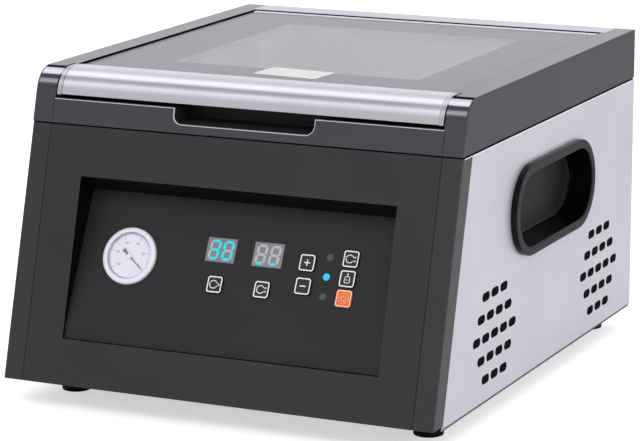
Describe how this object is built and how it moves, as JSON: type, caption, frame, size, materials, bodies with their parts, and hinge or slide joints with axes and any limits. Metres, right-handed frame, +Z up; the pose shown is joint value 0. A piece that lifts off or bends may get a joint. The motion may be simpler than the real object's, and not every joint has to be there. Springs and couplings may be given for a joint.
{
  "type": "vacuum sealer",
  "caption": "Tabletop chamber vacuum sealer: steel housing, raked front with recessed control panel, hinged glass lid, rising heat-seal bar, pump inside.",
  "frame": {"origin": "middle of the bounding box at the plane of the feet", "axes": "+Z up, the raked front faces -Y, +X to the right of someone facing the front"},
  "size_m": [0.3706, 0.4328, 0.2545],
  "materials": {
    "dark": "satin, fine grain",
    "sheet_steel": "satin",
    "bright": "brushed",
    "black": "matt",
    "panel": "matt film",
    "rubber": "matt",
    "steel": "satin",
    "alu": "cast",
    "brass": "satin",
    "glass": "clear, polished",
    "board": "solder mask",
    "grey": "smoked",
    "white": "matt",
    "orange": "satin",
    "silicone": "silicone",
    "ptfe": "woven glass and PTFE",
    "motor": "satin",
    "nylon": "natural"
  },
  "bodies": {
    "housing": {"base_pan": "dark", "feet": "rubber", "foot_screws": "steel", "side_panel_left": "sheet_steel", "side_panel_right": "sheet_steel", "rear_panel": "sheet_steel", "front_panel": "dark", "front_cheek_left": "dark", "front_cheek_right": "dark", "handle_cup_left": "black", "handle_cup_right": "black", "upper_frame": "dark", "rear_cover": "bright", "finger_pocket": "black", "control_bezel": "black", "control_panel": "panel", "control_board": "board", "board_spacers": "nylon", "displays": "grey", "indicator_lamps": "grey", "gauge_case": "steel", "gauge_bezel": "bright", "gauge_dial": "white", "gauge_lens": "glass", "chamber_tub": "steel", "vacuum_port": "brass", "lift_cylinders": "alu", "filler_plates": "white", "pump_motor": "motor", "pump_heads": "alu", "pump_bracket": "steel", "pump_dampers": "rubber", "vacuum_hose": "rubber", "gauge_hose": "rubber", "solenoid_valve": "black", "transformer": "motor", "power_board": "board", "fan_frame": "black", "inlet_socket": "black", "power_switch": "black"},
    "lid": {"lid_glass": "glass", "lid_frame": "dark", "lid_trim": "bright", "lid_gasket": "rubber", "seal_pad": "silicone", "lid_bar": "bright", "bar_caps": "bright", "lid_hinge": "steel"},
    "sealing_bar": {"seal_bar": "alu", "heating_band": "ptfe"},
    "gauge_needle": {"gauge_needle": "black"},
    "fan_rotor": {"fan_rotor": "black"},
    "switch_rocker": {"switch_rocker": "black"},
    "key_vacuum_time": {"key_vacuum_time": "panel"},
    "key_seal_time": {"key_seal_time": "panel"},
    "key_plus": {"key_plus": "panel"},
    "key_minus": {"key_minus": "panel"},
    "key_seal": {"key_seal": "panel"},
    "key_marinate": {"key_marinate": "panel"},
    "key_start": {"key_start": "orange"}
  },
  "joints": [
    {"name": "lid_hinge", "type": "hinge", "parent": "housing", "child": "lid", "pos_m": [0, 0.1808, 0.2483], "axis": [-1, 0, 0], "range_deg": [0, 75]},
    {"name": "seal_bar_lift", "type": "slide", "parent": "housing", "child": "sealing_bar", "axis": [0, 0, 1], "range_m": [0, 0.012]},
    {"name": "needle_turn", "type": "hinge", "parent": "housing", "child": "gauge_needle", "pos_m": [-0.0891, -0.1752, 0.1176], "axis": [0, -0.8942, 0.4478], "range_deg": [0, 256], "stiffness_Nm_per_rad": 0.0005},
    {"name": "fan_spin", "type": "hinge", "parent": "housing", "child": "fan_rotor", "pos_m": [0.098, 0.2, 0.075], "axis": [0, 1, 0], "continuous": true},
    {"name": "rocker_tilt", "type": "hinge", "parent": "housing", "child": "switch_rocker", "pos_m": [-0.07, 0.2105, 0.061], "axis": [0, 0, -1], "range_deg": [0, 18]},
    {"name": "press_vacuum_time", "type": "slide", "parent": "housing", "child": "key_vacuum_time", "axis": [0, 0.8942, -0.4478], "range_m": [0, 0.0008], "stiffness_N_per_m": 600},
    {"name": "press_seal_time", "type": "slide", "parent": "housing", "child": "key_seal_time", "axis": [0, 0.8942, -0.4478], "range_m": [0, 0.0008], "stiffness_N_per_m": 600},
    {"name": "press_plus", "type": "slide", "parent": "housing", "child": "key_plus", "axis": [0, 0.8942, -0.4478], "range_m": [0, 0.0008], "stiffness_N_per_m": 600},
    {"name": "press_minus", "type": "slide", "parent": "housing", "child": "key_minus", "axis": [0, 0.8942, -0.4478], "range_m": [0, 0.0008], "stiffness_N_per_m": 600},
    {"name": "press_seal", "type": "slide", "parent": "housing", "child": "key_seal", "axis": [0, 0.8942, -0.4478], "range_m": [0, 0.0008], "stiffness_N_per_m": 600},
    {"name": "press_marinate", "type": "slide", "parent": "housing", "child": "key_marinate", "axis": [0, 0.8942, -0.4478], "range_m": [0, 0.0008], "stiffness_N_per_m": 600},
    {"name": "press_start", "type": "slide", "parent": "housing", "child": "key_start", "axis": [0, 0.8942, -0.4478], "range_m": [0, 0.0008], "stiffness_N_per_m": 600}
  ]
}
